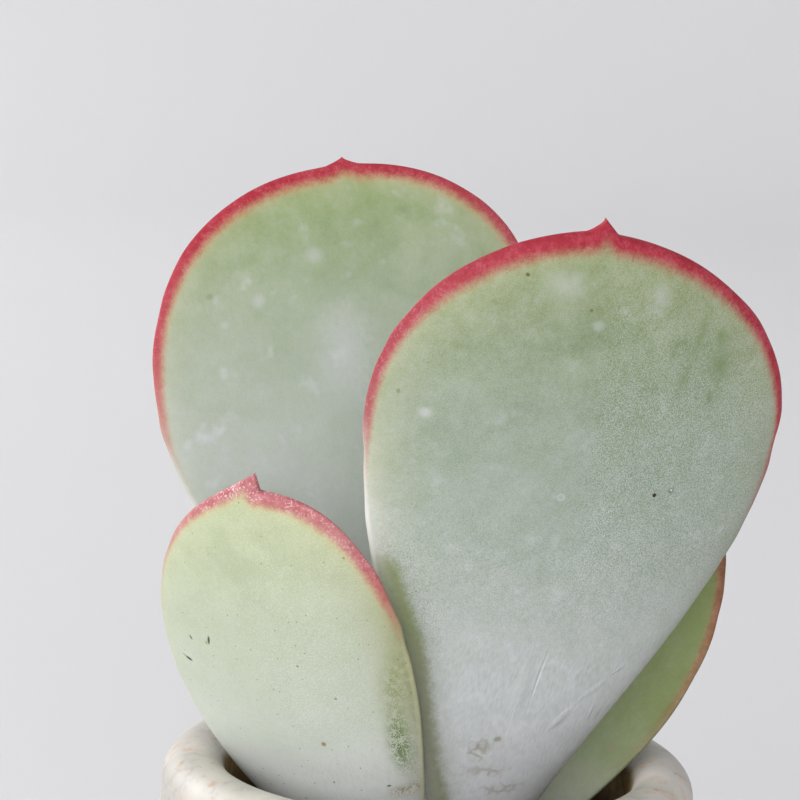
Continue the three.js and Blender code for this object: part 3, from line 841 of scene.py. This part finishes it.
def make_growing_tip():
    points = []
    faces = []
    rings, around = 60, 48
    for older in (SMALL_FRONT, SMALL_BACK):
        skin = leaf_skin(dict(YOUNG, azimuth=older["azimuth"]), rings, around, SEED)[0]
        start = sum(len(p) for p in points)
        points.append(skin)
        faces += [tuple(start + i for i in face) for face in ball_faces(rings, around)]
    all_points = np.concatenate(points)
    height = (all_points[:, 2] - YOUNG["base_z"]) / YOUNG["length"]
    piece = mesh_object("growing_tip_fine", all_points, faces, {"height": height})
    s = Shade("young_leaf_skin")
    place = s.coordinates()
    grain = s.noise(place, 0.4, 3, 0.6)
    flesh = s.mix(s.step(s.noise(place, 1.5), 0.3, 0.7), srgb(168, 188, 134), srgb(190, 206, 156))
    flesh = s.mix(s.step(s.value("height"), 0.88, 1.0, 0.0, 0.8), flesh, srgb(196, 104, 104))
    skin = s.mix(s.step(grain, 0.3, 0.75, 0.2, 0.9), flesh, WAX)
    s.bump(grain, 0.4, 0.06)
    piece.data.materials.append(s.finish(skin, 0.65, Specular_IOR_Level=0.35))
    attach(piece, "root")
    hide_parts("growing_tip")


# Pot

POT_SEGMENTS = 192
DRILL_SEGMENTS = 48
MOUTH_FLARE_DEPTH = 16.0


def outer_radius(z):
    up = np.clip((z - BELLY_Z) / (LIP_Z - BELLY_Z), 0, 1)
    down = np.clip((BELLY_Z - z) / BELLY_Z, 0, 1)
    upper = BELLY_RADIUS - (BELLY_RADIUS - NECK_RADIUS) * up ** 2
    lower = BASE_RADIUS + (BELLY_RADIUS - BASE_RADIUS) * np.sqrt(1 - down ** 2.4)
    return np.where(z > BELLY_Z, upper, lower)


def inner_radius(z):
    wall = outer_radius(z) - WALL
    return lerp(wall, LIP_CENTRE_RADIUS - LIP_RADIUS, smooth(z, LIP_Z - MOUTH_FLARE_DEPTH, LIP_Z))


def pot_profile():
    """Points of the pot's section and, for each, how far it belongs to the bare clay inside."""
    bottom = [(0, 0)] + [(r, 0) for r in np.linspace(2, BASE_RADIUS - 1, 12)]
    wall_z = (LIP_Z - 1.6) * np.linspace(0, 1, 60) ** 1.6
    wall = list(zip(outer_radius(wall_z), wall_z))
    turn = np.linspace(-0.12, math.pi + 0.05, 44)
    lip = list(zip(LIP_CENTRE_RADIUS + LIP_RADIUS * np.cos(turn), LIP_Z + LIP_RADIUS * np.sin(turn)))
    inside_z = np.linspace(LIP_Z - 0.8, FLOOR_THICKNESS + 1.5, 26)
    inside = list(zip(inner_radius(inside_z), inside_z))
    floor = [(r, FLOOR_THICKNESS) for r in np.linspace(inner_radius(FLOOR_THICKNESS) - 1.5, 2, 8)]
    floor.append((0, FLOOR_THICKNESS))
    profile = bottom + wall + lip + inside + floor
    bare = np.zeros(len(profile))
    bare[:len(bottom) + 2] = 1
    first_inside = len(bottom) + len(wall)
    bare[first_inside:first_inside + len(lip)] = smooth(turn, 2.35, 3.0)
    bare[first_inside + len(lip):] = 1
    return profile, bare


def pot_wobble(radius, height, turns):
    """The slight unevenness of a hand-made pot."""
    points = np.stack([radius * np.cos(turns), radius * np.sin(turns), height * 1.6], 1)
    ease = smooth(radius, 8, 20)
    return ease * (0.16 * noise_of(points, 26, SEED) + 0.05 * noise_of(points, 7, SEED + 5))


def drill_drain_holes(piece):
    for number in range(DRAIN_HOLES):
        turn = 2 * math.pi * number / DRAIN_HOLES
        tool = bmesh.new()
        place = Matrix.Translation(
            (DRAIN_CIRCLE_RADIUS * MM * math.sin(turn), DRAIN_CIRCLE_RADIUS * MM * math.cos(turn), 0))
        radius = DRAIN_HOLE_RADIUS * MM
        bmesh.ops.create_cone(tool, cap_ends=True, segments=DRILL_SEGMENTS, radius1=radius, radius2=radius,
                              depth=3 * FLOOR_THICKNESS * MM, matrix=place)
        mesh = bpy.data.meshes.new("drill")
        tool.to_mesh(mesh)
        tool.free()
        drill = add_object("drill", mesh)
        cut = piece.modifiers.new("hole", "BOOLEAN")
        cut.operation = "DIFFERENCE"
        cut.solver = "MANIFOLD"
        cut.object = drill
        graph = bpy.context.evaluated_depsgraph_get()
        drilled = bpy.data.meshes.new_from_object(piece.evaluated_get(graph), preserve_all_data_layers=True,
                                                  depsgraph=graph)
        piece.modifiers.clear()
        piece.data = drilled
        bpy.data.objects.remove(drill)


def pot_material():
    """Off-white satin glaze with warm mottling and iron specks, and bare brown clay inside that darkens
    with depth as painted shade.
    """
    s = Shade("pot_stoneware")
    place = s.coordinates()
    cloud = s.noise(place, 9)
    blotch = s.noise(place, 2.6, 2, 0.55)
    stain = s.noise(s.stretch(place, (1, 1, 1.4)), 1.7, 3, 0.6)
    fine = s.noise(place, 0.6, 2, 0.6)
    glaze = s.mix(s.step(cloud, 0.3, 0.7), srgb(184, 180, 173), srgb(204, 199, 190))
    warm = s.step(s.total(blotch, s.swing(cloud, 0.5)), 0.46, 0.76, 0.0, 0.6)
    glaze = s.mix(warm, glaze, srgb(196, 170, 150))
    grey = s.step(s.total(stain, s.swing(cloud, -0.5)), 0.5, 0.76, 0.0, 0.5)
    glaze = s.mix(grey, glaze, srgb(156, 151, 144))
    rust = s.step(s.total(stain, s.swing(blotch, 0.6), s.swing(fine, 0.3)), 0.62, 0.8, 0.0, 0.6)
    glaze = s.mix(rust, glaze, srgb(178, 142, 110))
    glaze = s.mix(s.times(s.specks(place, 1.7, 0.17, 0.32), 0.75), glaze, srgb(112, 98, 86))
    glaze = s.mix(s.times(s.specks(place, 3.1, 0.3, 0.3), 0.7), glaze, srgb(84, 70, 58))
    # Painted shade: the bare clay darkens down inside the pot, where the gap under the leaves lies in
    # shadow.
    depth_shade = s.step(s.value("height"), LIP_Z + 1, LIP_Z - 8)
    uneven = s.step(s.total(blotch, s.swing(fine, 0.6)), 0.3, 0.7)
    clay = s.mix(uneven, srgb(110, 88, 48), srgb(140, 116, 68))
    clay = s.mix(depth_shade, clay, srgb(56, 40, 24))
    colour = s.mix(s.step(s.total(s.value("bare"), s.swing(blotch, 0.3)), 0.1, 0.95), glaze, clay)
    rough = s.step(s.total(s.value("bare"), s.swing(blotch, 0.25)), 0.1, 0.9, 0.42, 0.9)
    s.bump(s.total(s.times(blotch, 0.5), s.times(fine, 0.35)), 0.5, 0.1)
    return s.finish(colour, rough, Specular_IOR_Level=0.45)


def make_pot():
    profile, bare = pot_profile()
    heights = [z for _, z in profile]
    values = {"bare": bare, "height": heights}
    piece = turned("pot_fine", profile, POT_SEGMENTS, wobble=pot_wobble, attributes=values)
    drill_drain_holes(piece)
    piece.data.materials.clear()
    piece.data.materials.append(pot_material())
    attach(piece, "root")
    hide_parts("pot")


# Soil, grit and stem

GRAINS = 430
GRAIN_RADIUS = (0.9, 1.9)
GRIT_BED_Z = 33.1
GRIT_TOP_Z = 35.0
GOLDEN_ANGLE = 2.39996
ANY_TURN = (0, 6.28)
STEM_RINGS = 130
STEM_SEGMENTS = 72
OLD_SCAR_Z = 34.6


def stem_radius(z):
    buried = lerp(2.4, STEM_RADIUS, smooth(z, STEM_BOTTOM, SOIL_TOP))
    swelling = 0.5 * np.exp(-(((z - LOWER_PAIR_Z) / 1.6) ** 2))
    above = lerp(0, STEM_RADIUS - 2.3, smooth(z, UPPER_PAIR_Z, STEM_TOP))
    return buried + swelling - above


def make_stem():
    z = np.linspace(STEM_BOTTOM, STEM_TOP, STEM_RINGS)
    profile = [(0, STEM_BOTTOM)] + list(zip(stem_radius(z), z)) + [(0, STEM_TOP)]

    def rings_and_scars(radius, height, turns):
        points = np.stack([radius * np.cos(turns), radius * np.sin(turns), height * 3], 1)
        scar = -0.25 * np.exp(-(((height - OLD_SCAR_Z + 0.35 * np.sin(2 * turns)) / 0.28) ** 2))
        return scar + 0.12 * noise_of(points, 1.6, SEED) - 0.1

    piece = turned("stem_fine", profile, STEM_SEGMENTS, STEM_X, STEM_Y, wobble=rings_and_scars)
    s = Shade("stem_skin")
    place = s.coordinates()
    fibre = s.noise(s.stretch(place, (1, 1, 0.25)), 0.7, 3, 0.6)
    skin = s.mix(s.step(fibre, 0.3, 0.7), srgb(128, 116, 84), srgb(158, 156, 112))
    skin = s.mix(s.step(s.noise(place, 2.2), 0.45, 0.7, 0.0, 0.6), skin, srgb(120, 92, 66))
    s.bump(fibre, 0.6, 0.15)
    piece.data.materials.append(s.finish(skin, 0.75))
    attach(piece, "root")
    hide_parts("stem")


def make_grit():
    """Loose-looking grains of fired clay and pumice, spread on a sunflower spiral."""
    draw = np.random.default_rng(SEED)
    ball = bmesh.new()
    bmesh.ops.create_icosphere(ball, subdivisions=2, radius=1.0)
    unit = np.array([v.co[:] for v in ball.verts])
    unit_faces = [[v.index for v in f.verts] for f in ball.faces]
    ball.free()
    reach = float(inner_radius(np.array(GRIT_BED_Z))) - SEAT
    points, faces, tones = [], [], []
    for number in range(GRAINS):
        radius = draw.uniform(*GRAIN_RADIUS)
        out = (reach - radius) * math.sqrt((number + 0.5) / GRAINS)
        turn = number * GOLDEN_ANGLE + draw.uniform(-0.3, 0.3)
        x, y = out * math.cos(turn), out * math.sin(turn)
        if math.hypot(x - STEM_X, y - STEM_Y) < STEM_RADIUS + 0.6 + radius:
            continue
        stretch = np.array([draw.uniform(0.8, 1.15), draw.uniform(0.75, 1.05), draw.uniform(0.6, 0.9)])
        lumps = 1 + 0.34 * noise_of(unit * 1.3, 1.0, number % 97)
        grain = unit * lumps[:, None] * stretch * radius
        roll = Matrix.Rotation(draw.uniform(*ANY_TURN), 3, "X")
        spin = roll @ Matrix.Rotation(draw.uniform(*ANY_TURN), 3, "Z")
        grain = grain @ np.array(spin).T
        height = GRIT_BED_Z + draw.uniform(-0.7, 0.6)
        height = min(height, GRIT_TOP_Z - grain[:, 2].max())
        height = max(height, SOIL_TOP + 0.05 - grain[:, 2].min())
        start = len(points) * len(unit)
        points.append(grain + [x, y, height])
        faces += [[start + i for i in face] for face in unit_faces]
        tones.append(np.full(len(unit), draw.uniform(0, 1)))
    piece = mesh_object("grit_fine", np.concatenate(points), faces, {"tone": np.concatenate(tones)})
    s = Shade("clay_grains")
    place = s.coordinates()
    tone = s.value("tone")
    pores = s.noise(place, 0.35, 3, 0.65)
    colour = s.mix(s.step(tone, 0.3, 0.36), srgb(120, 72, 44), srgb(176, 112, 66))
    colour = s.mix(s.step(tone, 0.68, 0.72), colour, srgb(196, 168, 130))
    colour = s.mix(s.step(tone, 0.88, 0.9), colour, srgb(96, 86, 78))
    colour = s.mix(s.step(pores, 0.55, 0.35, 0.0, 0.6), colour, srgb(70, 46, 32))
    s.bump(pores, 0.9, 0.25)
    piece.data.materials.append(s.finish(colour, 0.92))
    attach(piece, "root")
    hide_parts("grit_top_dressing")


def dress_soil():
    """The mix under the grit keeps its solid and gets a crumbly dark finish."""
    s = Shade("potting_crumb")
    place = s.coordinates()
    crumb = s.noise(place, 1.1, 4, 0.65)
    colour = s.mix(s.step(crumb, 0.3, 0.7), srgb(48, 34, 26), srgb(92, 68, 50))
    colour = s.mix(s.times(s.specks(place, 2.6, 0.5, 0.3), 0.8), colour, srgb(190, 180, 165))
    s.bump(crumb, 1.0, 0.6)
    material = s.finish(colour, 0.95)
    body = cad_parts["soil"]
    body.data.materials.clear()
    body.data.materials.append(material)


# Camera, light and backdrop

CAMERA_DISTANCE = 0.42
CAMERA_ELEVATION = math.radians(10.34)
CAMERA_ROLL = math.radians(2.8)
CAMERA_TARGET = Vector((-5.58 * MM, 0, (LIP_Z + 46.36) * MM))
LENS = 160.65


def make_camera():
    forward = Vector((0, math.cos(CAMERA_ELEVATION), -math.sin(CAMERA_ELEVATION)))
    level_right = Vector((1, 0, 0))
    level_up = level_right.cross(forward)
    right = level_right * math.cos(CAMERA_ROLL) + level_up * math.sin(CAMERA_ROLL)
    up = level_up * math.cos(CAMERA_ROLL) - level_right * math.sin(CAMERA_ROLL)
    data = bpy.data.cameras.new("view")
    data.lens = LENS
    data.sensor_width = 36
    data.clip_start = 0.01
    data.clip_end = 20
    camera = add_object("view", data)
    turn = Matrix((right, up, -forward)).transposed()
    camera.matrix_world = Matrix.Translation(CAMERA_TARGET - forward * CAMERA_DISTANCE) @ turn.to_4x4()
    bpy.context.scene.camera = camera


def area_light(name, place, aim, width, height, power, colour=(1.0, 1.0, 1.0)):
    data = bpy.data.lights.new(name, "AREA")
    data.shape = "RECTANGLE"
    data.size = width
    data.size_y = height
    data.energy = power
    data.color = colour
    light = add_object(name, data)
    light.location = place
    light.rotation_euler = (Vector(aim) - Vector(place)).to_track_quat("-Z", "Y").to_euler()
    light.visible_camera = False


def make_light():
    aim = (0, 0, 0.08)
    area_light("window", (-1.1, -0.75, 0.6), aim, 1.3, 1.3, 15.3, (1.0, 0.99, 0.97))
    area_light("back_window", (-0.95, 0.75, 0.6), (-0.1, 0.3, 0.1), 0.7, 0.8, 7.8)
    area_light("front", (-0.2, -1.25, 0.4), aim, 1.0, 0.8, 9)
    world = bpy.data.worlds.new("room")
    world.use_nodes = True
    sky = world.node_tree.nodes["Background"]
    sky.inputs["Color"].default_value = (0.98, 0.98, 1.0, 1)
    sky.inputs["Strength"].default_value = 0.465
    bpy.context.scene.world = world
    bpy.context.scene.view_settings.view_transform = "Standard"


FLOOR_RADIUS = 900.0
SWEEP_RADIUS = 600.0
WALL_TOP = 900.0


def make_backdrop():
    """A pale floor that sweeps up all round into a pale wall."""
    turn = np.linspace(0, math.pi / 2, 24)
    radius = [5] + list(FLOOR_RADIUS + SWEEP_RADIUS * np.sin(turn)) + [FLOOR_RADIUS + SWEEP_RADIUS]
    height = [0] + list(SWEEP_RADIUS * (1 - np.cos(turn))) + [WALL_TOP]
    points = []
    segments = 96
    for r, z in zip(radius, height):
        for number in range(segments):
            angle = 2 * math.pi * number / segments
            points.append((r * math.cos(angle), r * math.sin(angle), z))
    faces = [tuple(range(segments))]
    for ring in range(len(radius) - 1):
        for number in range(segments):
            following = (number + 1) % segments
            low, high = ring * segments, (ring + 1) * segments
            faces.append((low + number, low + following, high + following, high + number))
    sweep = mesh_object("backdrop", points, faces)
    s = Shade("backdrop_paper")
    tint = s.noise(s.coordinates(), 400, 1)
    paper = s.mix(tint, (0.72, 0.72, 0.73, 1), (0.74, 0.74, 0.75, 1))
    sweep.data.materials.append(s.finish(paper, 0.9, Specular_IOR_Level=0.1))


make_camera()
make_light()
make_backdrop()
make_pot()
dress_soil()
make_grit()
make_stem()
make_leaves()
make_growing_tip()
